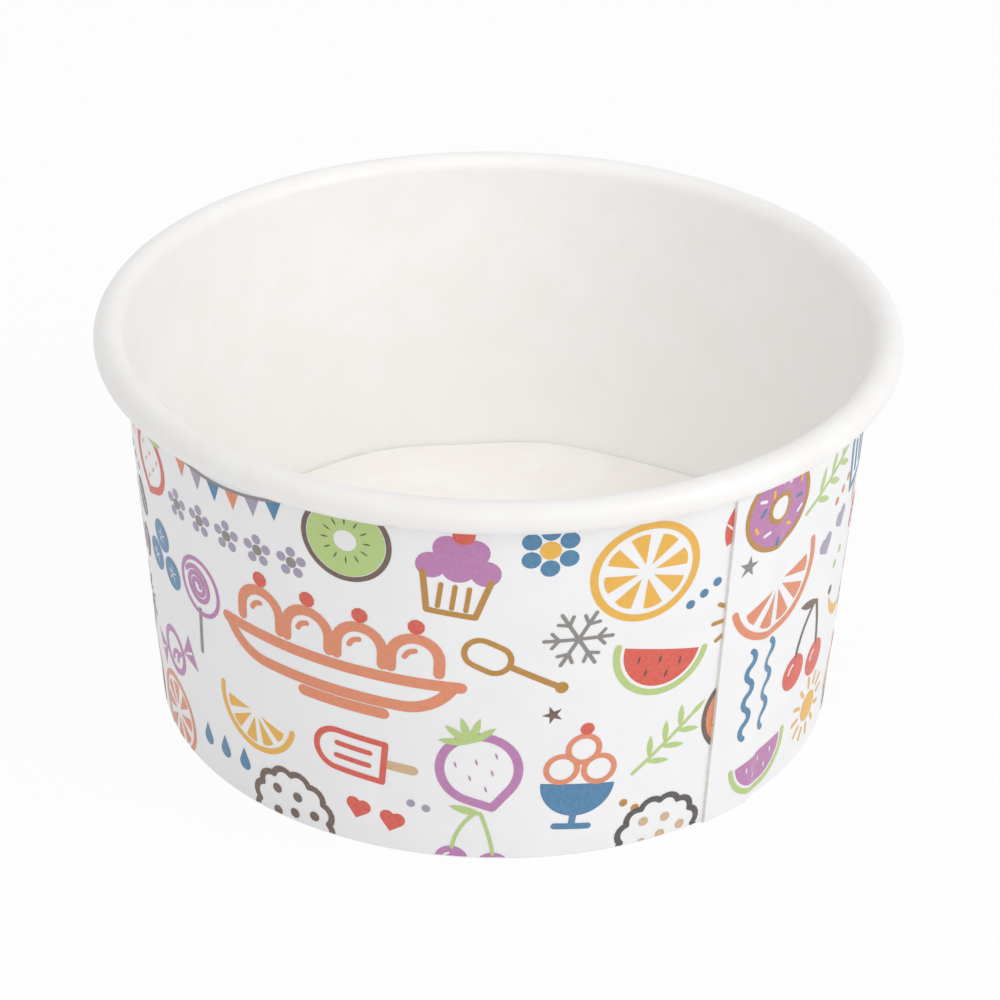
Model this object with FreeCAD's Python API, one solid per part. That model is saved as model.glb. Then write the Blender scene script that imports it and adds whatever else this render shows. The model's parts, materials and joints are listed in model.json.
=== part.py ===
import FreeCAD, Part
import os
from math import acos, atan2, cos, degrees, hypot, radians, sin

# A paper dessert cup, made as the real one is made, from two pieces of coated board.
# The side wall is one fan-shaped blank wrapped into a cone. Its two straight ends overlap in a glued
# seam, its top edge is rolled outwards into the rim, and its bottom edge is folded in and up.
# The floor is a shallow cap with a skirt that points down, and the fold of the wall grips that skirt.
#
# Frame: millimetres, +Z up. The origin is on the cup's axis at the table, and -Y is the cup's front.
# A section is drawn in the XZ plane, where X is the distance from the axis.

# Overall sizes
RIM_DIAMETER = 96.0
FOOT_DIAMETER = 82.8
CUP_HEIGHT = 50.2

# Board
WALL_BOARD = 0.4
FLOOR_BOARD = 0.4
GLUE_FILM = 0.02

# Rolled rim: it is a little taller than it is wide, and its raw edge is tucked up inside the roll
RIM_ROLL_WIDTH = 3.6
RIM_ROLL_HEIGHT = 3.8
RIM_TUCK_CLEARANCE = 0.1
RIM_TUCK_ANGLE = 150.0

# Foot and floor
FOLD_HEIGHT = 6.5
FOLD_INSIDE_RADIUS = 0.08
FLOOR_LEVEL = 9.8
SHOULDER_INSIDE_RADIUS = 0.5
SKIRT_EDGE_CLEARANCE = 0.3

# Seam of the side wall: the outer layer's edge is at SEAM_ANGLE, measured from +X, and the overlap
# runs anticlockwise from there. Past it, the board climbs down over the inner layer's edge.
SEAM_ANGLE = -53.5
SEAM_OVERLAP = 7.0
SEAM_PRESS_DEPTH = 0.05
SEAM_CLIMB_WIDTH = 2.0

# How far the seam's outer layer stands off the inner one
seam_step = WALL_BOARD - SEAM_PRESS_DEPTH

# Radii of the board's middle line in its bends. The tucked edge leaves room for the seam's second layer.
fold_radius = FOLD_INSIDE_RADIUS + WALL_BOARD / 2
roll_radius = (RIM_ROLL_WIDTH - WALL_BOARD) / 2
tuck_radius = roll_radius - WALL_BOARD - seam_step - RIM_TUCK_CLEARANCE
shoulder_radius = SHOULDER_INSIDE_RADIUS + FLOOR_BOARD / 2

# Centres of the wall's bend at the foot and of the roll's upper half, as (distance from axis, height)
foot_centre = (FOOT_DIAMETER / 2 - fold_radius - WALL_BOARD / 2, WALL_BOARD / 2 + fold_radius)
roll_centre = (RIM_DIAMETER / 2 - RIM_ROLL_WIDTH / 2, CUP_HEIGHT - RIM_ROLL_WIDTH / 2)

# The straight wall is tangent to both bends, and that gives its slope and its length
outward = roll_centre[0] - foot_centre[0]
upward = roll_centre[1] - foot_centre[1]
slope = acos((fold_radius + roll_radius) / hypot(outward, upward)) - atan2(upward, outward)
wall_length = outward * sin(slope) + upward * cos(slope)
slope_degrees = degrees(slope)

# The pocket between the wall and its fold holds the floor's skirt
pocket = FLOOR_BOARD + 2 * GLUE_FILM

# Angles that the seam takes on the cone
seam_radius = (FOOT_DIAMETER + RIM_DIAMETER) / 4
overlap_angle = degrees(SEAM_OVERLAP / seam_radius)
climb_angle = degrees(SEAM_CLIMB_WIDTH / seam_radius)


def along(point, heading, length):
    """The point reached from `point` by going `length` in the direction `heading`, in degrees."""
    return (point[0] + length * cos(radians(heading)), point[1] + length * sin(radians(heading)))


def vector(point):
    return FreeCAD.Vector(point[0], 0, point[1])


def straight_edge(start, end):
    return Part.LineSegment(vector(start), vector(end)).toShape()


def arc_edge(centre, radius, first, sweep):
    """An arc of a circle that starts in the direction `first` from its centre and turns by `sweep` degrees."""
    points = [vector(along(centre, first + sweep * share, radius)) for share in (0, 0.5, 1)]
    return Part.Arc(*points).toShape()


def board_section(start, heading, steps, thickness):
    """The section of a bent board as a face, from the steps that its middle line takes.

    A step is ("straight", length) or ("bend", angle, radius), and a bend to the left is positive.
    """
    half = thickness / 2
    left_side = []
    right_side = []
    place = start
    first_left = along(place, heading + 90, half)
    first_right = along(place, heading - 90, half)
    for step in steps:
        if step[0] == "straight":
            end = along(place, heading, step[1])
            left_side.append(straight_edge(along(place, heading + 90, half), along(end, heading + 90, half)))
            right_side.append(straight_edge(along(place, heading - 90, half), along(end, heading - 90, half)))
            place = end
        else:
            angle, radius = step[1:]
            side = 1 if angle > 0 else -1
            centre = along(place, heading + 90 * side, radius)
            first = heading - 90 * side
            left_side.append(arc_edge(centre, radius - half * side, first, angle))
            right_side.append(arc_edge(centre, radius + half * side, first, angle))
            heading += angle
            place = along(centre, heading - 90 * side, radius)
    start_cap = straight_edge(first_left, first_right)
    end_cap = straight_edge(along(place, heading + 90, half), along(place, heading - 90, half))
    outline = Part.Wire([start_cap, *right_side, end_cap, *reversed(left_side)])
    return Part.Face(outline)


def wall_section(lift):
    """The side wall's section, from the fold's edge, round the foot and up, to the edge tucked in the rim.

    With a lift it is the seam's outer layer: outside the wall, inside the roll and under the fold.
    """
    flat = (pocket + 2 * lift + WALL_BOARD - 2 * fold_radius) / cos(slope)
    wall_bend = (foot_centre[0] + lift / cos(slope), foot_centre[1])
    fold_bend = (wall_bend[0] - flat, foot_centre[1])
    fold_start = along(fold_bend, 180 - slope_degrees, fold_radius)
    fold_length = (FOLD_HEIGHT - fold_start[1]) / cos(slope)
    steps = [
        ("straight", fold_length),
        ("bend", 90 + slope_degrees, fold_radius),
        ("straight", flat),
        ("bend", 90 - slope_degrees, fold_radius),
        ("straight", wall_length),
        ("bend", -180, roll_radius - lift),
        ("straight", RIM_ROLL_HEIGHT - RIM_ROLL_WIDTH),
        ("bend", -90, roll_radius - lift),
        ("bend", -RIM_TUCK_ANGLE, tuck_radius - lift),
    ]
    fold_top = along(fold_start, 90 - slope_degrees, fold_length)
    return board_section(fold_top, -90 - slope_degrees, steps, WALL_BOARD)


def floor_section():
    """The floor's section, from the axis out to the shoulder and down the skirt."""
    skirt_offset = WALL_BOARD / 2 + GLUE_FILM + FLOOR_BOARD / 2
    shoulder_height = FLOOR_LEVEL - FLOOR_BOARD / 2 - shoulder_radius
    rise = shoulder_height - foot_centre[1]
    inset = fold_radius - skirt_offset - shoulder_radius
    shoulder_distance = foot_centre[0] + (inset + rise * sin(slope)) / cos(slope)
    skirt_start = shoulder_height - shoulder_radius * sin(slope)
    skirt_length = (skirt_start - WALL_BOARD - SKIRT_EDGE_CLEARANCE) / cos(slope)
    steps = [
        ("straight", shoulder_distance),
        ("bend", -90 - slope_degrees, shoulder_radius),
        ("straight", skirt_length),
    ]
    return board_section((0, FLOOR_LEVEL - FLOOR_BOARD / 2), 0, steps, FLOOR_BOARD)


def turned(shape, angle):
    """A copy of the shape, turned about the cup's axis by `angle` degrees."""
    copy = shape.copy()
    copy.rotate(FreeCAD.Vector(0, 0, 0), FreeCAD.Vector(0, 0, 1), angle)
    return copy


def swept(face, start, sweep):
    """The solid that a section makes from the angle `start` round the cup's axis by `sweep` degrees."""
    return turned(face, start).revolve(FreeCAD.Vector(0, 0, 0), FreeCAD.Vector(0, 0, 1), sweep)


def side_wall():
    inner_layer = wall_section(0)
    outer_layer = wall_section(seam_step)
    seam_end = SEAM_ANGLE + overlap_angle
    climb_end = seam_end + climb_angle
    # Over the overlap the wall has two layers, pressed into one
    both_layers = inner_layer.fuse(outer_layer).removeSplitter()
    overlap = [swept(face, SEAM_ANGLE, overlap_angle) for face in both_layers.Faces]
    # Just past the overlap the board climbs over the inner layer's edge
    climb = Part.makeLoft(
        [turned(outer_layer, seam_end).OuterWire, turned(inner_layer, climb_end).OuterWire], True, True
    )
    single = swept(inner_layer, climb_end, 360 - overlap_angle - climb_angle)
    return single.fuse([climb, *overlap]).removeSplitter()


def floor_disc():
    return swept(floor_section(), 0, 360)


def main():
    pieces = {"side_wall": side_wall(), "floor_disc": floor_disc()}
    os.makedirs("parts", exist_ok=True)
    for name, shape in pieces.items():
        solids = shape.Solids
        print(name, "solids", len(solids), "valid", shape.isValid(), "volume", round(shape.Volume, 1), "mm3")
        Part.makeCompound(solids).exportStep(f"parts/{name}.step")


main()
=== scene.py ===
# A paper dessert cup: a printed side wall, wrapped and glued with an overlap seam, rolled outwards at the
# rim and folded in at the foot, where it grips the skirt of a round floor of plain board.
import bmesh
import bpy
import json
from math import acos, atan2, ceil, cos, degrees, hypot, pi, radians, sin
from mathutils import Matrix, Vector

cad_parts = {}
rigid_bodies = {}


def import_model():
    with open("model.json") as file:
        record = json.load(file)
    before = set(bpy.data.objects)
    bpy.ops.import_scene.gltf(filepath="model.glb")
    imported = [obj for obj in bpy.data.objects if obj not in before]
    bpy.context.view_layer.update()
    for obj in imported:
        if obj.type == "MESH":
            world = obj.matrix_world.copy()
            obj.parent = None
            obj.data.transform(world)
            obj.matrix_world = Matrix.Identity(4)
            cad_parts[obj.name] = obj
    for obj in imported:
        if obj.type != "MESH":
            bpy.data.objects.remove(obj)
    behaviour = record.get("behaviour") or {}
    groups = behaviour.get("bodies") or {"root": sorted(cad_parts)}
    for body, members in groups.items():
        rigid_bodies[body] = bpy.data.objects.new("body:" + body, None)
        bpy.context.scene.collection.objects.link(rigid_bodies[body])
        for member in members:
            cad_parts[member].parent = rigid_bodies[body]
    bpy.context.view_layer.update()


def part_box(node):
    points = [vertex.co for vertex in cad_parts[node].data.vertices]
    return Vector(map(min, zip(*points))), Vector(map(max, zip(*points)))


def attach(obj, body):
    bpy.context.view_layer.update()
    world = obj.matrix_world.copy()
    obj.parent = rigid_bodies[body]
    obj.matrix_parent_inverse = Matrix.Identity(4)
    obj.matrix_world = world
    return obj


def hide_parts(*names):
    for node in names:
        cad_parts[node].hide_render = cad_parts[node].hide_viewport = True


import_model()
wall_low, wall_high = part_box("side_wall")
floor_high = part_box("floor_disc")[1]

MM = 0.001

# The cup's main sizes, from the frame
rim_radius = (wall_high.x - wall_low.x) / 2
cup_height = wall_high.z
floor_level = floor_high.z

# The board and how it is bent, as in the CAD model, except that the floor's shoulder is bent more tightly,
# so that the floor meets the wall with no gap to be seen
BOARD = 0.4 * MM
ROLL_WIDTH = 3.6 * MM
ROLL_HEIGHT = 3.8 * MM
TUCK_ANGLE = 150
TUCK_RADIUS = 0.75 * MM
FOOT_RADIUS = 41.4 * MM
FOLD_HEIGHT = 6.5 * MM
FOLD_BEND = 0.28 * MM
POCKET = 0.44 * MM
SHOULDER_BEND = 0.28 * MM
SKIRT_BOTTOM = 0.7 * MM
GLUE_FILM = 0.02 * MM

# The seam: the outer layer's edge, how many columns of the mesh the layers overlap, how far the outer layer
# stands off, and what share of that each column keeps as the board climbs down, on the wall and on the roll
SEAM_ANGLE = -53.5
OVERLAP_COLUMNS = 9
COLUMN_ANGLE = 1.0
SEAM_STEP = 0.41 * MM
SEAM_CLIMB = {column: 1 for column in range(OVERLAP_COLUMNS + 1)} | {10: 0.74, 11: 0.26}
ROLL_CLIMB = {column: 1 for column in range(OVERLAP_COLUMNS - 2)} | {7: 0.8, 8: 0.4, 9: 0.08, 10: 0.02}

# The knurl that the press leaves on the fold, and the crease and the unevenness of the board
KNURL_LOW = 2 * MM
KNURL_HIGH = 5 * MM
KNURL_DEPTH = 0.08 * MM
CREASE_ANGLE = -104
CREASE_WIDTH = 1.2
CREASE_DEPTH = 0.08 * MM
UNEVEN_LENGTH = 18 * MM
UNEVEN_DEPTH = 0.22 * MM
UNEVEN_AT_ROLL = 0.3
UNEVEN_FROM = 0.3

# The ripples of the floor's edge, and the slow wave under them
RIPPLES = 11
RIPPLE_ANGLE = 80
RIPPLE_HEIGHT = 0.24 * MM
RIPPLE_FADE = 8
SLOW_RIPPLES = 2
SLOW_SHARE = 0.5

# How finely the meshes follow the bends
FOLD_ROWS = 8
TIGHT_BEND_ROWS = 6
WALL_ROWS = 16
ROLL_ROWS = 22
ROLL_SIDE_ROWS = 10
TUCK_ROWS = 10
FLOOR_RINGS = 14
SHOULDER_ROWS = 8
SKIRT_ROWS = 4
FLOOR_COLUMNS = 240
BOARD_WELD = 0.01 * MM
SMOOTH_ANGLE = 35

# The print: its sheet is measured along the wall at this radius, and it ends under the rim
PRINT_RADIUS = 43.5 * MM
PRINT_BOTTOM = 0.35 * MM
PRINT_TOP = 46.2 * MM
PRINT_MARGIN = 0.05 * MM
PRINT_REPEAT = 150 * MM
PRINT_OVERHANG = 15 * MM
PRINT_CELL_WIDTH = 1.25 * MM
PRINT_CELL_HEIGHT = 2.6 * MM

# Its ink: how finely a curve is drawn, in millimetres, how far the film stands off the board, how thick
# it is, and what sets its levels and its parts of one level apart
ARC_STEP = 0.55
INK_WELD = 0.02 * MM
INK_LIFT = 0.015 * MM
INK_FILM = 0.008 * MM
INK_STEP = 0.012 * MM
LIFT_PER_POINT = 0.00002 * MM

# Surfaces: the film and the varnish are clear plastic, and the ink lets a little of the board through
COATING_IOR = 1.5
GLOSS_SPREAD = 0.05
BARE_BOARD = "#F3F4F6"
INK_ROUGHNESS = 0.4
INK_MOTTLE = 0.5 * MM
INK_THINNEST = 0.08

# Light: where each lamp hangs, in metres, and its power in watts
WORLD_LIGHT = 0.62
STAGE_SIZE = 6
STAGE_GLOW = 0.93
SOFT_BOX = 0.6
KEY_LAMP = ((0.69, -0.4, 0.48), 2.25)
FRONT_LAMP = ((-0.05, -0.8, 0.42), 0.75)
TOP_LAMP = ((-0.15, 0.1, 1), 0.7)
INSIDE_LAMP = ((0, -0.3, 0.55), 2.9)
BEAM_TARGET = (0, 0.026, 0.03)
BEAM_ANGLE = 8.5
BEAM_SOURCE = 0.03

# The photograph's camera
CAMERA_FOCAL_PIXELS = 3429.0
CAMERA_DISTANCE = 419.6 * MM
CAMERA_ELEVATION = 29.44
CAMERA_ROLL = 0.75
CAMERA_AXIS_PIXEL = (496.6, 494.3)
FRAME_PIXELS = 1000
SENSOR_WIDTH = 36


# Modelling by hand: small steps that the pieces share

def deselect_all():
    bpy.ops.object.select_all(action="DESELECT")


def take(piece):
    """Selects one piece and nothing else."""
    deselect_all()
    piece.select_set(True)
    bpy.context.view_layer.objects.active = piece


def edit(piece):
    """Opens one piece alone in edit mode."""
    take(piece)
    bpy.ops.object.mode_set(mode="EDIT")
    bpy.ops.mesh.select_mode(type="VERT")


def leave_edit():
    bpy.ops.object.mode_set(mode="OBJECT")


def select_where(piece, chosen):
    """In edit mode, selects the vertices that chosen(place, number) picks, and nothing else."""
    bpy.ops.mesh.select_all(action="DESELECT")
    mesh = bmesh.from_edit_mesh(piece.data)
    for vertex in mesh.verts:
        vertex.select_set(chosen(vertex.co, vertex.index))
    mesh.select_flush(True)
    bmesh.update_edit_mesh(piece.data)


def finish_modifier(piece, kind, **settings):
    """Adds a modifier and applies it."""
    take(piece)
    modifier = piece.modifiers.new(kind.title(), kind)
    for name, value in settings.items():
        setattr(modifier, name, value)
    bpy.ops.object.modifier_apply(modifier=modifier.name)


def give_board(piece, front, back):
    """Gives a sheet the board's thickness, a surface on each side and a raw edge."""
    for material in (front, back, board_edge):
        piece.data.materials.append(material)
    finish_modifier(
        piece,
        "SOLIDIFY",
        thickness=BOARD,
        offset=0,
        use_even_offset=True,
        material_offset=1,
        material_offset_rim=2,
    )
    take(piece)
    bpy.ops.object.shade_smooth_by_angle(angle=radians(SMOOTH_ANGLE))


def along(point, heading, length):
    """The point reached from `point` by going `length` in the direction `heading`, in degrees."""
    return (point[0] + length * cos(radians(heading)), point[1] + length * sin(radians(heading)))


def board_line(name, start, heading, steps):
    """The middle line of a bent board, drawn in the XZ plane from one vertex by extrude and spin.

    A step is ("straight", length, rows) or ("bend", angle, radius, rows), and a bend to the left is
    positive. A point is (distance from the axis, height).
    """
    deselect_all()
    bpy.ops.mesh.primitive_plane_add(size=MM, location=(start[0], 0, start[1]))
    piece = bpy.context.object
    piece.name = name
    bpy.ops.object.transform_apply(location=True)
    edit(piece)
    bpy.ops.mesh.select_all(action="SELECT")
    bpy.ops.mesh.merge(type="CENTER")
    place = start
    for step in steps:
        if step[0] == "straight":
            length, rows = step[1:]
            for _ in range(rows):
                end = along(place, heading, length / rows)
                move = (end[0] - place[0], 0, end[1] - place[1])
                bpy.ops.mesh.extrude_vertices_move(TRANSFORM_OT_translate={"value": move})
                place = end
        else:
            angle, radius, rows = step[1:]
            side = 1 if angle > 0 else -1
            centre = along(place, heading + 90 * side, radius)
            bpy.ops.mesh.spin(
                steps=rows, angle=radians(angle), center=(centre[0], 0, centre[1]), axis=(0, 1, 0)
            )
            heading += angle
            place = along(centre, heading - 90 * side, radius)
    leave_edit()
    return piece


def spin_round(piece, angle, columns):
    """Sweeps the board's line round the cup's axis, column by column."""
    edit(piece)
    bpy.ops.mesh.select_all(action="SELECT")
    bpy.ops.mesh.spin(steps=columns, angle=radians(angle), center=(0, 0, 0), axis=(0, 0, -1))
    leave_edit()


def turn_about_axis(piece, angle):
    """Turns a piece about the cup's axis, into its mesh."""
    take(piece)
    piece.rotation_euler.z = radians(angle)
    bpy.ops.object.transform_apply(rotation=True)


# The cone's slope and its length come from the two bends that the wall is tangent to, as in the CAD model

roll_radius = (ROLL_WIDTH - BOARD) / 2
foot_centre = (FOOT_RADIUS - FOLD_BEND - BOARD / 2, BOARD / 2 + FOLD_BEND)
roll_centre = (rim_radius - ROLL_WIDTH / 2, cup_height - ROLL_WIDTH / 2)
outward = roll_centre[0] - foot_centre[0]
upward = roll_centre[1] - foot_centre[1]
slope = acos((FOLD_BEND + roll_radius) / hypot(outward, upward)) - atan2(upward, outward)
wall_length = outward * sin(slope) + upward * cos(slope)
slope_degrees = degrees(slope)


def make_wall():
    """One blank of board, from the seam's outer layer round the cup to the inner layer's edge under it."""
    flat = (POCKET + BOARD - 2 * FOLD_BEND) / cos(slope)
    fold_start = along((foot_centre[0] - flat, foot_centre[1]), 180 - slope_degrees, FOLD_BEND)
    fold_length = (FOLD_HEIGHT - fold_start[1]) / cos(slope)
    steps = [
        ("straight", fold_length, FOLD_ROWS),
        ("bend", 90 + slope_degrees, FOLD_BEND, TIGHT_BEND_ROWS),
        ("straight", flat, 1),
        ("bend", 90 - slope_degrees, FOLD_BEND, TIGHT_BEND_ROWS),
        ("straight", wall_length, WALL_ROWS),
        ("bend", -180, roll_radius, ROLL_ROWS),
        ("straight", ROLL_HEIGHT - ROLL_WIDTH, 1),
        ("bend", -90, roll_radius, ROLL_SIDE_ROWS),
        ("bend", -TUCK_ANGLE, TUCK_RADIUS, TUCK_ROWS),
    ]
    fold_top = along(fold_start, 90 - slope_degrees, fold_length)
    wall = board_line("printed_side_wall", fold_top, -90 - slope_degrees, steps)
    rows = len(wall.data.vertices)
    roll_row = next(v.index for v in wall.data.vertices if v.co.z > roll_centre[1])
    columns = round(360 / COLUMN_ANGLE) + OVERLAP_COLUMNS
    spin_round(wall, columns * COLUMN_ANGLE, columns)
    turn_about_axis(wall, SEAM_ANGLE)

    edit(wall)
    bpy.ops.mesh.select_all(action="SELECT")
    bpy.ops.mesh.flip_normals()
    # The outer layer of the seam stands off the inner one, and comes down over the inner layer's edge.
    # At the rim the rolling pressed both layers flat, so there it comes down before that edge.
    for climb, on_roll in ((SEAM_CLIMB, False), (ROLL_CLIMB, True)):
        for column, share in climb.items():
            first = column * rows
            select_where(
                wall,
                lambda place, number: first <= number < first + rows
                and (number % rows >= roll_row) == on_roll,
            )
            bpy.ops.transform.shrink_fatten(value=SEAM_STEP * share)
    # The fold is knurled where the press bit it to the floor's skirt
    select_where(
        wall,
        lambda place, number: number // rows % 2 == 0
        and KNURL_LOW < place.z < KNURL_HIGH
        and place.xy.length < foot_centre[0],
    )
    bpy.ops.transform.shrink_fatten(value=-KNURL_DEPTH)
    # The roll has a faint upright crease at the front, left of the middle
    select_where(
        wall,
        lambda place, number: place.z > roll_centre[1] - roll_radius
        and place.xy.length > roll_centre[0]
        and abs(degrees(atan2(place.y, place.x)) - CREASE_ANGLE) < CREASE_WIDTH / 2,
    )
    bpy.ops.transform.shrink_fatten(value=CREASE_DEPTH)
    leave_edit()
    # What the press flattened at the foot stands on the table
    for vertex in wall.data.vertices:
        vertex.co.z = max(vertex.co.z, BOARD / 2)

    unevenness = bpy.data.textures.new("board_unevenness", "CLOUDS")
    unevenness.noise_scale = UNEVEN_LENGTH
    free = wall.vertex_groups.new(name="free_board")
    for vertex in wall.data.vertices:
        held = UNEVEN_AT_ROLL if vertex.co.z > roll_centre[1] - roll_radius else 1
        free.add([vertex.index], min(max(vertex.co.z / FOLD_HEIGHT - UNEVEN_FROM, 0), held), "REPLACE")
    finish_modifier(
        wall, "DISPLACE", texture=unevenness, strength=UNEVEN_DEPTH, mid_level=0.5, vertex_group=free.name
    )
    give_board(wall, board_printed_side, board_food_side)
    return wall


def make_floor():
    """The floor: a round of board whose edge is turned down into the skirt that the fold grips."""
    middle_level = floor_level - BOARD / 2
    shoulder_height = middle_level - SHOULDER_BEND
    skirt_offset = BOARD + GLUE_FILM
    rise = shoulder_height - foot_centre[1]
    shoulder = foot_centre[0] + (FOLD_BEND - skirt_offset - SHOULDER_BEND + rise * sin(slope)) / cos(slope)
    skirt_start = shoulder_height - SHOULDER_BEND * sin(slope)
    steps = [
        ("straight", shoulder, FLOOR_RINGS),
        ("bend", -90 - slope_degrees, SHOULDER_BEND, SHOULDER_ROWS),
        ("straight", (skirt_start - SKIRT_BOTTOM) / cos(slope), SKIRT_ROWS),
    ]
    disc_piece = board_line("floor_of_board", (0, middle_level), 0, steps)
    spin_round(disc_piece, 360, FLOOR_COLUMNS)
    edit(disc_piece)
    bpy.ops.mesh.select_all(action="SELECT")
    bpy.ops.mesh.remove_doubles(threshold=BOARD_WELD)
    bpy.ops.mesh.normals_make_consistent(inside=False)
    leave_edit()
    # The gathers of the skirt ripple the floor's edge, and the ripples fade inwards and down the skirt
    for vertex in disc_piece.data.vertices:
        turn = atan2(vertex.co.y, vertex.co.x) - radians(RIPPLE_ANGLE)
        inwards = min(1, vertex.co.xy.length / shoulder) ** RIPPLE_FADE
        down = min(1, (vertex.co.z - SKIRT_BOTTOM) / (shoulder_height - SKIRT_BOTTOM))
        wave_height = cos(RIPPLES * turn) + SLOW_SHARE * cos(SLOW_RIPPLES * turn)
        vertex.co.z += RIPPLE_HEIGHT * inwards * down * wave_height
    give_board(disc_piece, floor_food_side, floor_bare_side)
    return disc_piece


# Materials

def linear(hex_colour):
    """A Blender colour from an sRGB hex value."""
    channels = [int(hex_colour[start:start + 2], 16) / 255 for start in (1, 3, 5)]
    return [c / 12.92 if c <= 0.04045 else ((c + 0.055) / 1.055) ** 2.4 for c in channels] + [1]


def add_node(tree, kind, inputs, **settings):
    """Adds one node with its settings. An input takes a value, or another node's output to link."""
    node = tree.nodes.new(kind)
    for name, value in settings.items():
        setattr(node, name, value)
    for name, value in inputs.items():
        if isinstance(value, bpy.types.NodeSocket):
            tree.links.new(value, node.inputs[name])
        else:
            node.inputs[name].default_value = value
    return node


def paper_material(name, colour, shade, roughness, cloud_size, grain_size, grain_depth):
    """Board: two near tones in soft clouds, as its pulp settles unevenly, under a fine fibre grain."""
    material = bpy.data.materials.new(name)
    material.use_nodes = True
    tree = material.node_tree
    shader = tree.nodes["Principled BSDF"]
    place = add_node(tree, "ShaderNodeTexCoord", {}).outputs["Object"]
    clouds = add_node(
        tree, "ShaderNodeTexNoise", {"Vector": place, "Scale": 1 / cloud_size, "Detail": 4, "Roughness": 0.6}
    )
    patches = add_node(
        tree, "ShaderNodeMapRange", {"Value": clouds.outputs["Fac"], "From Min": 0.4, "From Max": 0.6}
    )
    tones = add_node(
        tree,
        "ShaderNodeMix",
        {"Factor": patches.outputs["Result"], "A": linear(shade), "B": linear(colour)},
        data_type="RGBA",
    )
    grain = add_node(
        tree, "ShaderNodeTexNoise", {"Vector": place, "Scale": 1 / grain_size, "Detail": 3, "Roughness": 0.7}
    )
    bump = add_node(
        tree, "ShaderNodeBump", {"Height": grain.outputs["Fac"], "Distance": grain_depth, "Strength": 1}
    )
    gloss = add_node(
        tree,
        "ShaderNodeMapRange",
        {
            "Value": clouds.outputs["Fac"],
            "To Min": roughness - GLOSS_SPREAD,
            "To Max": roughness + GLOSS_SPREAD,
        },
    )
    tree.links.new(tones.outputs["Result"], shader.inputs["Base Color"])
    tree.links.new(bump.outputs["Normal"], shader.inputs["Normal"])
    tree.links.new(gloss.outputs["Result"], shader.inputs["Roughness"])
    shader.inputs["IOR"].default_value = COATING_IOR
    return material


def ink_material(name, colour):
    """A printed ink: even to the eye, with the slight mottle of its dots, and as smooth as the varnish."""
    material = bpy.data.materials.new(name)
    material.use_nodes = True
    tree = material.node_tree
    shader = tree.nodes["Principled BSDF"]
    place = add_node(tree, "ShaderNodeTexCoord", {}).outputs["Object"]
    mottle = add_node(
        tree, "ShaderNodeTexNoise", {"Vector": place, "Scale": 1 / INK_MOTTLE, "Detail": 3, "Roughness": 0.7}
    )
    cover = add_node(
        tree,
        "ShaderNodeMapRange",
        {
            "Value": mottle.outputs["Fac"],
            "From Min": 0.3,
            "From Max": 0.7,
            "To Min": INK_THINNEST,
            "To Max": 0.0,
        },
    )
    tone = add_node(
        tree,
        "ShaderNodeMix",
        {"Factor": cover.outputs["Result"], "A": linear(colour), "B": linear(BARE_BOARD)},
        data_type="RGBA",
    )
    tree.links.new(tone.outputs["Result"], shader.inputs["Base Color"])
    shader.inputs["Roughness"].default_value = INK_ROUGHNESS
    shader.inputs["IOR"].default_value = COATING_IOR
    return material


# The print. Its motifs are drawn flat, in millimetres about their own middle, and then set on the sheet,
# whose x runs round the cup from the edge of the seam's outer layer and whose y is the height above the
# table. What is drawn at a higher level lies on top, and parts of one level lie a hair apart, so that
# none shares its face with another.

def select_faces_down(piece):
    """In edit mode, selects the faces that show their back."""
    bpy.ops.mesh.select_all(action="DESELECT")
    bpy.ops.mesh.select_mode(type="FACE")
    mesh = bmesh.from_edit_mesh(piece.data)
    for face in mesh.faces:
        face.select_set(face.normal.z < 0)
    bmesh.update_edit_mesh(piece.data)


def add_point(place, level):
    """A lone vertex on the sheet, the only thing selected."""
    bpy.ops.mesh.select_all(action="DESELECT")
    bpy.ops.mesh.primitive_plane_add(size=MM, location=(place[0] * MM, place[1] * MM, level * INK_STEP))
    bpy.ops.mesh.merge(type="CENTER")


def trace(place, heading, steps):
    """Draws what is selected along straights, (length,), and bends to the left, (angle, radius)."""
    for step in steps:
        if len(step) == 1:
            end = along(place, heading, step[0])
            move = ((end[0] - place[0]) * MM, (end[1] - place[1]) * MM, 0)
            bpy.ops.mesh.extrude_region_move(TRANSFORM_OT_translate={"value": move})
            place = end
            continue
        angle, radius = step
        side = 1 if angle > 0 else -1
        centre = along(place, heading + 90 * side, radius)
        if radius:
            bpy.ops.mesh.spin(
                steps=max(3, ceil(abs(radians(angle)) * radius / ARC_STEP)),
                angle=radians(angle),
                center=(centre[0] * MM, centre[1] * MM, 0),
                axis=(0, 0, -1),
            )
        heading += angle
        place = along(centre, heading - 90 * side, radius)
    return place, heading


def lay(ink):
    """Gives the selected faces their ink, and lifts them a little above all that was laid before."""
    motif = bpy.context.object
    motif.active_material_index = list(INKS).index(ink)
    bpy.ops.object.material_slot_assign()
    drawn = len(bmesh.from_edit_mesh(motif.data).verts)
    bpy.ops.transform.translate(value=(0, 0, drawn * LIFT_PER_POINT))


def dot(place, radius, ink, level=1):
    bpy.ops.mesh.select_all(action="DESELECT")
    bpy.ops.mesh.primitive_circle_add(
        vertices=max(10, ceil(2 * pi * radius / ARC_STEP)),
        radius=radius * MM,
        fill_type="NGON",
        location=(place[0] * MM, place[1] * MM, level * INK_STEP),
    )
    lay(ink)


def patch(place, heading, steps, ink, level=0):
    """A patch of ink: its outline is drawn from one vertex and filled. A bend of radius 0 is sharp."""
    add_point(place, level)
    trace(place, heading, steps)
    bpy.ops.mesh.select_linked()
    bpy.ops.mesh.remove_doubles(threshold=INK_WELD)
    bpy.ops.mesh.edge_face_add()
    lay(ink)


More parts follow.
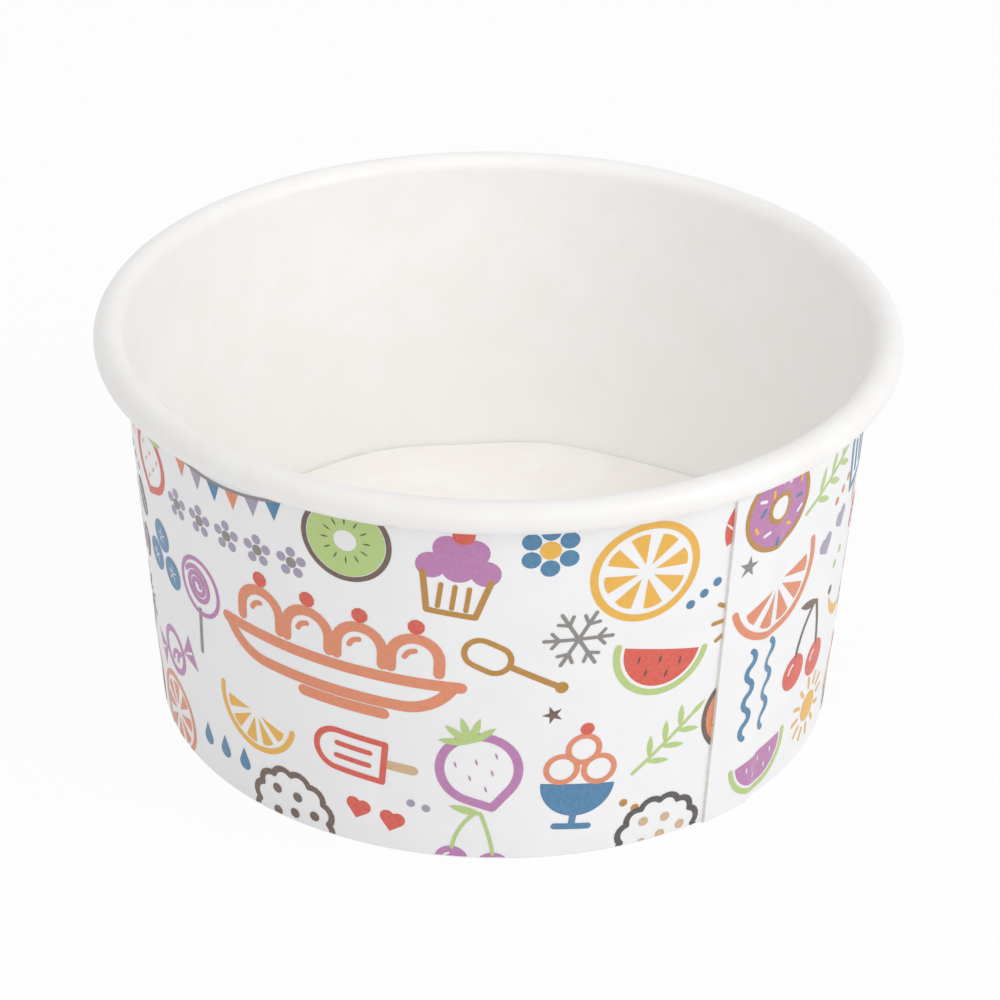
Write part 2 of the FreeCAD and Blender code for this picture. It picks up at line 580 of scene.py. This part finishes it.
def pen(place, heading, steps, width, ink, level=1, ends=True):
    """A line of even width: an edge across it is drawn along it. It is round at ends and sharp bends."""
    leg = []
    for step in [*steps, (0, 0)]:
        if step[-1]:
            leg.append(step)
            continue
        left = along(place, heading + 90, width / 2)
        right = along(place, heading - 90, width / 2)
        add_point(left, level)
        across = ((right[0] - left[0]) * MM, (right[1] - left[1]) * MM, 0)
        bpy.ops.mesh.extrude_region_move(TRANSFORM_OT_translate={"value": across})
        bpy.ops.mesh.select_linked()
        start = place
        place, heading = trace(place, heading, leg)
        bpy.ops.mesh.select_linked()
        lay(ink)
        if ends:
            dot(start, width / 2, ink, level)
            dot(place, width / 2, ink, level)
        heading += step[0]
        leg = []


def ring(place, radius, width, ink, level=1):
    pen((place[0] + radius, place[1]), 90, [(360, radius)], width, ink, level, ends=False)


def leaf(place, heading, length, ink, level=1, fullness=28):
    """A pointed leaf between two arcs."""
    bend = (2 * fullness, length / (2 * sin(radians(fullness))))
    patch(place, heading - fullness, [bend, (180 - 2 * fullness, 0), bend], ink, level)


def citrus(peel, flesh):
    ring((0, 0), 5.3, 0.8, peel)
    for middle in range(0, 360, 45):
        patch(along((0, 0), middle, 0.9), middle - 17, [(3.4,), (82, 0), (50, 2.36)], flesh)


def half_citrus(peel, flesh):
    pen((-6, 2), -90, [(180, 6)], 0.8, peel)
    for middle in range(-162, 0, 36):
        patch(along((0, 1.6), middle, 1), middle - 14, [(3.8,), (79, 0), (50, 2.2)], flesh)


def melon(rind, flesh, seed):
    patch((-4.7, 2), -90, [(180, 4.7)], flesh)
    pen((-5.5, 2), -90, [(180, 5.5)], 0.8, rind)
    for x, y in ((-2.6, 0.6), (0, 0.8), (2.6, 0.6), (-1.3, -1), (1.3, -1)):
        leaf((x, y + 0.5), -90, 1.1, seed, 2)


def strawberry(fruit, leaves, seed):
    pen((0, -5), 35, [(2.6,), (290, 3.71), (2.6,)], 0.9, fruit)
    for turn in (20, 55, 90, 125, 160):
        leaf((0, 2.6), turn, 3, leaves, 2)
    for x, y in ((-2, 1), (0, 0.8), (2, 1), (-1.1, -0.8), (1.1, -0.8), (0, -2.4)):
        leaf((x, y), -90, 0.8, seed, 2)


def cherries(fruit, stem):
    for x, y in ((-2.7, -2.6), (2.6, -3.4)):
        dot((x, y), 2.2, fruit)
        pen((x - 1.1, y + 0.2), 85, [(-70, 1.0)], 0.35, "bare", 2)
    pen((-2.6, -0.6), 82, [(-40, 8.6)], 0.5, stem, 2)
    pen((2.6, -1.4), 98, [(13, 28)], 0.5, stem, 2)
    leaf((1.3, 4.6), 165, 4.4, stem)


def heart(side, ink):
    patch((0, -0.7 * side), 45, [(side,), (180, side / 2), (-90, 0), (180, side / 2), (side,)], ink)


def open_heart(ink):
    pen((0, -4), 45, [(5,), (180, 2.5), (-90, 0), (180, 2.5), (5,)], 0.85, ink)


def star(reach, ink):
    edge = 0.7266 * reach
    patch((0, reach), 252, [(edge,), (-72, 0), (edge,), (144, 0)] * 5, ink)


def lollipop(candy, stick):
    pen((0, -3.4), -90, [(7.4,)], 0.8, stick, 0)
    ring((0, 0.6), 4.5, 0.7, candy)
    pen((0.2, 0.6), 90, [(180, 0.9), (180, 1.4), (180, 1.9), (180, 2.4), (150, 2.9)], 0.75, candy, 2)


def ice_pop(ice, stick):
    pen((0, -4.6), -90, [(3,)], 1.3, stick, 0)
    pen((-2.7, -4), 90, [(6,), (-180, 2.7), (6,), (-90, 0), (5.4,)], 0.8, ice)
    for x in (-0.9, 0.9):
        pen((x, -2.2), 90, [(4.2,)], 0.7, ice)


def wrapped_sweet(candy, paper):
    ring((0, 0), 2.7, 0.8, candy)
    pen((-1.2, -0.9), 60, [(-80, 1.7)], 0.6, candy)
    pen((0.2, -1.3), 60, [(-60, 1.8)], 0.6, candy)
    patch((3.2, 0), 38, [(3.6,), (-128, 0), (4.43,)], paper)
    patch((-3.2, 0), 142, [(3.6,), (128, 0), (4.43,)], paper)
    for side in (1, -1):
        pen((4.2 * side, 0), 90 - 90 * side, [(1.5,)], 0.35, "bare", 2)


def sun(ink):
    dot((0, 0), 2.4, ink)
    for turn in range(0, 360, 30):
        pen(along((0, 0), turn, 3.5), turn, [(1.7,)], 0.6, ink)


def flower(petal, middle, reach=2.5, petals=6):
    for number in range(petals):
        dot(along((0, 0), 90 + 360 * number / petals, reach), 0.46 * reach, petal, 0)
    dot((0, 0), 0.5 * reach, middle, 2)


def sprig(ink, pairs=3):
    pen((0, -5.6), 90, [(10,)], 0.5, ink)
    for number in range(pairs):
        height = -3.4 + 2.7 * number
        leaf((0, height), 40, 3.4, ink, 0)
        leaf((0, height + 0.6), 140, 3.4, ink, 0)
    leaf((0, 4.2), 90, 3, ink, 0)


def wave(ink, count=4):
    pen((-2.08 * count, 0), 60, [(-120, 1.2), (120, 1.2)] * count, 0.8, ink)


def bunting(string, *flags):
    pen((-9.5, 2.4), -14, [(28, 39.5)], 0.45, string)
    for number, ink in enumerate(flags * 3):
        x = -8 + 3.2 * number
        hang = 2.2 - 0.9 * cos(radians(10 * x))
        if x < 9:
            patch((x - 1.25, hang), -66, [(3,), (132, 0), (3,)], ink)


def sundae(bowl, scoop, topping):
    patch((-4.8, -0.6), -90, [(180, 4.8)], bowl)
    pen((0, -5.2), -90, [(1.7,)], 0.9, bowl)
    pen((-2.2, -7), 0, [(4.4,)], 0.9, bowl)
    for x, y in ((-2.4, 1.6), (2.4, 1.6), (0, 4.6)):
        ring((x, y), 1.95, 0.75, scoop)
    dot((0, 7.6), 0.9, topping, 2)


def boat_dish(dish, scoop, topping):
    """Four scoops in a long dish."""
    pen((-12, 0.4), -60, [(60, 5), (13,), (60, 5)], 1.1, dish)
    pen((-12.4, 0.6), 0, [(22.8,)], 1.1, dish)
    pen((-3.8, -3.3), 0, [(7.6,)], 1.1, dish)
    for number in range(4):
        x = -8.3 + 4.9 * number
        pen((x - 2.1, 1.8), 90, [(1.2,), (-180, 2.1), (1.2,)], 1, scoop)
        pen((x - 0.9, 3.1), 75, [(-70, 1)], 0.5, scoop)
        dot((x, 6.3), 0.75, topping, 2)


def spoon(ink):
    pen((-1.8, 3.6), 90, [(-180, 1.8), (1.9,), (-180, 1.8), (1.9,)], 0.7, ink, 1, ends=False)
    pen((0, -0.2), -90, [(6.4,)], 0.8, ink)
    dot((0, -6.9), 0.8, ink)


def umbrella(canopy, band, stick):
    pen((0, 4.8), -90, [(10.4,)], 0.5, stick, 0)
    patch((-5, 0), 90, [(-180, 5)], canopy, 1)
    for x, width in ((-2.9, 0.9), (0, 1.3), (2.9, 0.9)):
        leaf((x, 0.1), 90 - x * 7, 4.4 - abs(x) * 0.25, band, 2, 10 * width)


def berries(ink, crown):
    for x, y in ((-2.4, -1.4), (2.3, -1.6), (0.1, 2.2)):
        dot((x, y), 2, ink)
        for turn in range(18, 360, 72):
            leaf((x, y), turn, 1.1, crown, 2, 22)


def biscuit(dough, chip):
    pen((4.6, 0), 45, [(120, 1.375), (-90, 0)] * 12, 0.75, dough)
    for turn, reach in ((10, 2.9), (70, 2.3), (130, 3), (195, 2.1), (250, 3), (310, 2.6), (0, 0.3)):
        dot(along((0, 0), turn, reach), 0.6, chip, 2)


def cupcake(case, icing, cherry):
    pen((-3.6, -0.4), -78, [(4.8,), (78, 0), (5.2,), (78, 0), (4.8,)], 0.7, case)
    for x in (-1.5, 0, 1.5):
        pen((x, -1.6), -90, [(2.8,)], 0.55, case)
    for x, y, radius in ((-2.9, 0.6, 1.6), (0, 0.9, 1.9), (2.9, 0.6, 1.6), (-1.4, 3, 1.6), (1.4, 3, 1.6)):
        dot((x, y), radius, icing, 0)
    dot((0, 5), 1.2, cherry, 2)


def banana(ink, tip):
    patch((-4.6, 2.2), -62, [(124, 5.2), (153, 0), (-66, 8.43)], ink)
    dot((-4.7, 2.4), 0.6, tip)
    dot((4.5, 2.4), 0.6, tip)


def cane(sugar):
    pen((1.8, -5.4), 90, [(7.4,), (180, 2.1), (1,)], 1.5, sugar)
    for height in (-4, -2, 0):
        pen((1.2, height - 0.3), 35, [(1.4,)], 0.4, "bare", 2)
    for turn in (35, 90, 145):
        pen(along((-0.3, 2), turn, 1.45), turn + 30, [(1.2,)], 0.4, "bare", 2)


def snowflake(ink):
    for turn in range(0, 360, 60):
        pen((0, 0), turn, [(4.6,)], 0.55, ink)
        for side in (50, -50):
            pen(along((0, 0), turn, 2.6), turn + side, [(1.5,)], 0.5, ink)


def bean(ink):
    patch((-2, 0.9), -90, [(1.8,), (180, 2), (1.8,), (180, 2)], ink)
    pen((0.2, 2.2), -110, [(50, 2.6), (-50, 2.6)], 0.45, "bare", 2)


def kiwi(skin, flesh, seed):
    dot((0, 0), 4.4, flesh, 0)
    ring((0, 0), 4.8, 0.6, skin)
    dot((0, 0), 1.3, "bare", 2)
    for turn in range(0, 360, 30):
        leaf(along((0, 0), turn, 1.9), turn, 1, seed, 2, 20)


def burst(ink):
    for number, turn in enumerate(range(0, 360, 20)):
        pen(along((0, 0), turn, 1.5), turn, [(3.4 if number % 2 else 1.9,)], 0.42, ink)


def drop(reach, ink):
    patch((0, reach * 1.6), -65, [(reach * 1.3,), (-230, reach * 0.606), (reach * 1.3,)], ink)


def doughnut(icing, dough, *sprinkles):
    ring((0, 0), 3.35, 2.7, icing, 0)
    ring((0, 0), 5, 0.6, dough)
    ring((0, 0), 1.7, 0.6, dough)
    for number, turn in enumerate(range(0, 360, 30)):
        ink = sprinkles[number % len(sprinkles)]
        pen(along((0, 0), turn, 3 + 0.9 * (number % 2)), turn * 2.3, [(0.8,)], 0.42, ink, 2)


def set_motif(draw, inks, x, y, turn=0, size=1, count=1, spacing=0):
    """Draws a motif in a piece of its own and sets it on the sheet, once or as a row of its like."""
    deselect_all()
    bpy.ops.mesh.primitive_plane_add(size=MM)
    motif = bpy.context.object
    for material in INKS.values():
        motif.data.materials.append(material)
    edit(motif)
    bpy.ops.mesh.select_all(action="SELECT")
    bpy.ops.mesh.delete(type="VERT")
    draw(*inks)
    leave_edit()
    motif.location = (x * MM, y * MM, 0)
    motif.rotation_euler.z = radians(turn)
    motif.scale = (size, size, 1)
    take(motif)
    bpy.ops.object.transform_apply()
    motifs = [motif]
    for number in range(1, count):
        bpy.ops.object.duplicate()
        end = along((0, 0), turn, spacing)
        bpy.ops.transform.translate(value=(end[0] * MM, end[1] * MM, 0))
        take(bpy.context.object)
        bpy.ops.object.transform_apply()
        motifs.append(bpy.context.object)
    return motifs


def join(pieces, name):
    deselect_all()
    for piece in pieces:
        piece.select_set(True)
    bpy.context.view_layer.objects.active = pieces[0]
    bpy.ops.object.join()
    pieces[0].name = name
    return pieces[0]


def cut_at(place, across, drop_beyond=False):
    """Cuts the whole sheet along a line, and with drop_beyond drops what lies beyond it."""
    bpy.ops.mesh.select_all(action="SELECT")
    bpy.ops.mesh.bisect(plane_co=place, plane_no=across, clear_outer=drop_beyond)


def make_print():
    """The repeat is drawn once, set three times along the sheet, and trimmed to the blank."""
    drawn = [motif for entry in LAYOUT for motif in set_motif(*entry)]
    repeat = join(drawn, "wall_print")
    edit(repeat)
    select_faces_down(repeat)
    bpy.ops.mesh.flip_normals()
    bpy.ops.mesh.select_all(action="SELECT")
    bpy.ops.mesh.quads_convert_to_tris(quad_method="BEAUTY", ngon_method="BEAUTY")
    # Narrow cells, so that the ink can follow the board's curve
    first_cut = -ceil(PRINT_OVERHANG / PRINT_CELL_WIDTH)
    last_cut = ceil((PRINT_REPEAT + PRINT_OVERHANG) / PRINT_CELL_WIDTH)
    for number in range(first_cut, last_cut + 1):
        cut_at((number * PRINT_CELL_WIDTH, 0, 0), (1, 0, 0))
    for number in range(1, ceil(cup_height / PRINT_CELL_HEIGHT)):
        cut_at((0, number * PRINT_CELL_HEIGHT, 0), (0, 1, 0))
    leave_edit()

    repeats = [repeat]
    for shift in (-PRINT_REPEAT, PRINT_REPEAT):
        take(repeat)
        bpy.ops.object.duplicate()
        bpy.ops.transform.translate(value=(shift, 0, 0))
        take(bpy.context.object)
        bpy.ops.object.transform_apply()
        repeats.append(bpy.context.object)
    sheet = join(repeats, "wall_print")
    sheet_length = 2 * pi * PRINT_RADIUS
    edit(sheet)
    cut_at((PRINT_MARGIN, 0, 0), (-1, 0, 0), True)
    cut_at((sheet_length - PRINT_MARGIN, 0, 0), (1, 0, 0), True)
    # The ink bends with the board where it climbs down from the overlap
    for column in range(OVERLAP_COLUMNS - 1, len(SEAM_CLIMB) + 2):
        cut_at((PRINT_RADIUS * radians(column * COLUMN_ANGLE), 0, 0), (1, 0, 0))
    cut_at((0, PRINT_BOTTOM, 0), (0, -1, 0), True)
    cut_at((0, PRINT_TOP, 0), (0, 1, 0), True)
    leave_edit()
    return sheet


def lay_on_wall(sheet):
    """Wraps the sheet round the wall's outside. What was drawn higher stays above the rest."""
    for vertex in sheet.data.vertices:
        x, y, height = vertex.co
        angle = radians(SEAM_ANGLE) + x / PRINT_RADIUS
        outward = Vector((cos(angle), sin(angle), 0))
        _, place, _, _ = wall.ray_cast(Vector((0, 0, y)) + outward * rim_radius, -outward)
        vertex.co = place + outward * (INK_LIFT + height)
    finish_modifier(sheet, "SOLIDIFY", thickness=INK_FILM, offset=1)


# Where the motifs stand: what each takes, such as its inks, then x and y of its middle in millimetres, its
# turn and size, and for a row how many there are and how far apart
LAYOUT = (
    (doughnut, ("magenta", "golden", "blue", "yellow", "bare"), 7, 41.5, 0, 1.05),
    (sprig, ("light_green",), 18, 40.5, -64, 1.05),
    (ice_pop, ("blue", "tan"), 28, 39, 12, 1),
    (star, (4, "yellow"), 37.2, 42.6, 10),
    (strawberry, ("red", "light_green", "red"), 46, 40, -14, 1.05),
    (bunting, ("grey", "orange", "lavender", "blue"), 62.5, 42.6, 2, 0.95),
    (kiwi, ("brown", "light_green", "dark"), 79, 42.3, 0, 1.05),
    (cupcake, ("golden", "magenta", "red"), 91.5, 39.8, -8, 1.05),
    (flower, ("blue", "yellow"), 101.5, 43, 0, 0.95),
    (citrus, ("yellow", "yellow"), 112.5, 38.6, 12, 1.15),
    (umbrella, ("red", "bare", "brown"), 127, 41, 24, 0.95),
    (wrapped_sweet, ("light_green", "light_green"), 141, 42.5, -22, 0.95),
    (half_citrus, ("orange", "orange"), 9, 29, 18, 1.2),
    (heart, (1.9, "lavender"), 19.4, 30.2, 20, 1, 2, 4.6),
    (cane, ("red",), 32.5, 26, -18, 0.95),
    (bean, ("brown",), 39.8, 31.4, 30, 0.85),
    (bean, ("brown",), 38.8, 24.8, -25, 0.85),
    (berries, ("blue", "bare"), 46.9, 27.4, 0, 1.05),
    (flower, ("lavender", "grey", 1.4, 5), 52.8, 37, 1, 1, 5, 4.8),
    (lollipop, ("magenta", "grey"), 56.1, 26.9, -5, 0.82),
    (boat_dish, ("orange", "orange", "red"), 77.9, 24.3, -3, 1.34),
    (spoon, ("golden",), 97.2, 27.6, 62, 1),
    (snowflake, ("grey",), 105, 30.8, 0, 0.85),
    (melon, ("light_green", "red", "dark"), 114.8, 25.4, -14, 1.05),
    (sun, ("golden",), 126.8, 28.8, 0, 0.95),
    (biscuit, ("tan", "brown"), 139, 29.6, 0, 1.1),
    (wave, ("blue", 3), 5, 16.5, 90, 1),
    (wave, ("blue", 3), 8.6, 16.5, 90, 1),
    (cherries, ("red", "brown"), 17.8, 17.8, 0, 1.1),
    (banana, ("yellow", "brown"), 26.8, 17.4, -28, 1.05),
    (burst, ("grey",), 35.6, 15.6, 0, 0.8),
    (wrapped_sweet, ("magenta", "magenta"), 47, 13.7, 24, 1.05),
    (half_citrus, ("yellow", "yellow"), 64.4, 12.6, -14, 0.95),
    (ice_pop, ("red", "tan"), 78.6, 12.9, 84, 1),
    (strawberry, ("magenta", "light_green", "magenta"), 93.8, 13.6, 16, 1.25),
    (sundae, ("blue", "orange", "red"), 105.8, 11, -6, 0.95),
    (sprig, ("light_green",), 116.6, 14, -50, 0.95),
    (doughnut, ("orange", "brown", "bare", "yellow"), 127.4, 15.4, 0, 1.1),
    (open_heart, ("magenta",), 139.6, 16, -16, 1),
    (melon, ("light_green", "magenta", "bare"), 9, 4.8, 8, 0.95),
    (sun, ("yellow",), 21, 6.8, 10, 0.85),
    (cupcake, ("brown", "tan", "red"), 33.5, 5, 6, 1),
    (citrus, ("orange", "orange"), 45.5, 4, 0, 0.95),
    (drop, (1.6, "blue"), 54.6, 5, 0, 1, 3, 3.7),
    (biscuit, ("brown", "brown"), 69.6, 1.4, 0, 1.15),
    (heart, (1.9, "red"), 79, 5, -12, 1, 2, 4.4),
    (cherries, ("magenta", "light_green"), 93.2, 2.2, 0, 0.95),
    (biscuit, ("dark", "tan"), 116.6, 0.6, 0, 1.1),
    (spoon, ("tan",), 130.6, 4.6, -80, 0.95),
    (umbrella, ("blue", "bare", "brown"), 143.6, 5, -18, 0.9),
    (dot, ((0, 0), 0.55, "orange"), 21, 35.6, 25, 1, 3, 1.9),
    (dot, ((0, 0), 0.55, "magenta"), 36, 36.6, -20, 1, 3, 1.9),
    (dot, ((0, 0), 0.6, "blue"), 118.4, 32.6, 30, 1, 3, 2),
    (dot, ((0, 0), 0.55, "light_green"), 24, 25.4, 40, 1, 2, 2),
    (dot, ((0, 0), 0.55, "lavender"), 85.8, 7.4, -15, 1, 2, 1.9),
    (dot, ((0, 0), 0.55, "golden"), 111.6, 6.6, -35, 1, 2, 1.9),
    (star, (1.5, "grey"), 144.4, 36.4, -8, 1, 3, 4.2),
    (star, (1.4, "blue"), 148.4, 23.6, 0),
    (star, (1.4, "blue"), 146.8, 12.8, 0),
    (star, (1.3, "brown"), 102.4, 20.6, 20),
)


# Bleached board under a pigment coat and a thin clear varnish: cool white and satin
board_printed_side = paper_material(
    "bleached_board_clay_coated",
    "#FAFAFB",
    "#F7F7F9",
    roughness=0.42,
    cloud_size=7 * MM,
    grain_size=0.45 * MM,
    grain_depth=0.006 * MM,
)
# The food side has an extruded polyethylene film: a warmer white with a soft shine. Where the print is
# behind it, the board shows it only as faint, warm patches.
board_food_side = paper_material(
    "bleached_board_film_coated",
    "#FCFBFA",
    "#FAF8F6",
    roughness=0.38,
    cloud_size=5 * MM,
    grain_size=0.6 * MM,
    grain_depth=0.008 * MM,
)
# The floor's board has the film on its top side too, and is creamier
floor_food_side = paper_material(
    "cupstock_film_coated",
    "#FAF8F3",
    "#F8F5EF",
    roughness=0.40,
    cloud_size=6 * MM,
    grain_size=0.6 * MM,
    grain_depth=0.008 * MM,
)
# Uncoated side of the floor's board: matt and greyer, with its fibres showing
floor_bare_side = paper_material(
    "cupstock_uncoated",
    "#ECE7DD",
    "#E8E2D7",
    roughness=0.75,
    cloud_size=3 * MM,
    grain_size=0.3 * MM,
    grain_depth=0.015 * MM,
)
# Raw edge of slit board: matt, and a little darker and warmer than its faces, where the fibres are cut
board_edge = paper_material(
    "slit_board_edge",
    "#F1ECE6",
    "#E9E1D8",
    roughness=0.85,
    cloud_size=0.8 * MM,
    grain_size=0.2 * MM,
    grain_depth=0.02 * MM,
)

# Offset inks under varnish: thin, flat colours that let a little of the board through
INKS = {
    name: ink_material("offset_ink_" + name, colour)
    for name, colour in (
        ("orange", "#E68C64"),
        ("tan", "#D6B58A"),
        ("red", "#DE5541"),
        ("magenta", "#BE7BB2"),
        ("lavender", "#A79CB6"),
        ("blue", "#4380AA"),
        ("light_green", "#B9D380"),
        ("golden", "#BD862C"),
        ("grey", "#8B8782"),
        ("brown", "#6C5545"),
        ("yellow", "#F0B63C"),
        ("dark", "#4B4643"),
        ("bare", BARE_BOARD),
    )
}

wall = make_wall()
cup_floor = make_floor()
wall_print = make_print()
lay_on_wall(wall_print)
for piece, node, slot in (
    (wall, "side_wall", "coated_board"),
    (cup_floor, "floor_disc", "floor_board"),
):
    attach(piece, "root")
    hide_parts(node)
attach(wall_print, "root")


# The stage: a white floor, a plain light all round, and soft lamps

def seen_directly(tree):
    """1 for what the camera, a reflection or a clear material sees, and 0 for the light that falls."""
    path = add_node(tree, "ShaderNodeLightPath", {})
    return add_node(
        tree,
        "ShaderNodeMath",
        {
            0: add_node(
                tree,
                "ShaderNodeMath",
                {0: path.outputs["Is Camera Ray"], 1: path.outputs["Is Glossy Ray"]},
                operation="MAXIMUM",
            ).outputs[0],
            1: path.outputs["Is Transmission Ray"],
        },
        operation="MAXIMUM",
    ).outputs[0]


def light_world():
    world = bpy.data.worlds.new("white_studio")
    bpy.context.scene.world = world
    world.use_nodes = True
    tree = world.node_tree
    tree.nodes.clear()
    falling = add_node(tree, "ShaderNodeBackground", {"Color": linear("#FFFFFF"), "Strength": WORLD_LIGHT})
    white = add_node(tree, "ShaderNodeBackground", {"Color": linear("#FFFFFF"), "Strength": 1})
    both = add_node(
        tree, "ShaderNodeMixShader", {0: seen_directly(tree), 1: falling.outputs[0], 2: white.outputs[0]}
    )
    add_node(tree, "ShaderNodeOutputWorld", {"Surface": both.outputs[0]})


def lay_stage_floor():
    """White sweep paper that looks white from every side and still takes the cup's shadow."""
    deselect_all()
    bpy.ops.mesh.primitive_plane_add(size=STAGE_SIZE, location=(0, 0, 0))
    stage = bpy.context.object
    stage.name = "stage_floor"
    material = bpy.data.materials.new("white_sweep_paper")
    material.use_nodes = True
    tree = material.node_tree
    tree.nodes.clear()
    paper = add_node(tree, "ShaderNodeBsdfDiffuse", {"Color": linear("#FAFAFA")})
    glow = add_node(tree, "ShaderNodeEmission", {"Color": linear("#FFFFFF"), "Strength": 1})
    share = add_node(tree, "ShaderNodeMath", {0: seen_directly(tree), 1: STAGE_GLOW}, operation="MULTIPLY")
    both = add_node(
        tree, "ShaderNodeMixShader", {0: share.outputs[0], 1: paper.outputs[0], 2: glow.outputs[0]}
    )
    add_node(tree, "ShaderNodeOutputMaterial", {"Surface": both.outputs[0]})
    stage.data.materials.append(material)


def hang_lamp(name, kind, place, power, target):
    """A lamp that faces a place on the cup or in it."""
    deselect_all()
    bpy.ops.object.light_add(type=kind, location=place)
    lamp = bpy.context.object
    lamp.name = name
    lamp.data.energy = power
    lamp.rotation_euler = (Vector(target) - lamp.location).to_track_quat("-Z", "Y").to_euler()
    return lamp.data


def hang_soft_box(name, place, power):
    """A square soft box that faces the cup."""
    hang_lamp(name, "AREA", place, power, (0, 0, cup_height / 2)).size = SOFT_BOX


def hang_inside_lamp(place, power):
    """A narrow soft beam into the open cup, which lifts the white inside and spares the rim."""
    beam = hang_lamp("inside_lamp", "SPOT", place, power, BEAM_TARGET)
    beam.spot_size = radians(BEAM_ANGLE)
    beam.spot_blend = 1
    beam.shadow_soft_size = BEAM_SOURCE


def place_camera():
    elevation = radians(CAMERA_ELEVATION)
    target = Vector((0, 0, cup_height / 2))
    place = target + CAMERA_DISTANCE * Vector((0, -cos(elevation), sin(elevation)))
    deselect_all()
    bpy.ops.object.camera_add()
    camera = bpy.context.object
    camera.matrix_world = (
        Matrix.Translation(place)
        @ Matrix.Rotation(radians(90) - elevation, 4, "X")
        @ Matrix.Rotation(radians(CAMERA_ROLL), 4, "Z")
    )
    camera.data.sensor_width = SENSOR_WIDTH
    camera.data.lens = CAMERA_FOCAL_PIXELS / FRAME_PIXELS * SENSOR_WIDTH
    camera.data.shift_x = (FRAME_PIXELS / 2 - CAMERA_AXIS_PIXEL[0]) / FRAME_PIXELS
    camera.data.shift_y = (CAMERA_AXIS_PIXEL[1] - FRAME_PIXELS / 2) / FRAME_PIXELS
    camera.data.clip_start = 0.01
    bpy.context.scene.camera = camera


light_world()
lay_stage_floor()
hang_soft_box("key_lamp", *KEY_LAMP)
hang_soft_box("front_lamp", *FRONT_LAMP)
hang_soft_box("top_lamp", *TOP_LAMP)
hang_inside_lamp(*INSIDE_LAMP)
place_camera()
bpy.context.scene.view_settings.view_transform = "Standard"
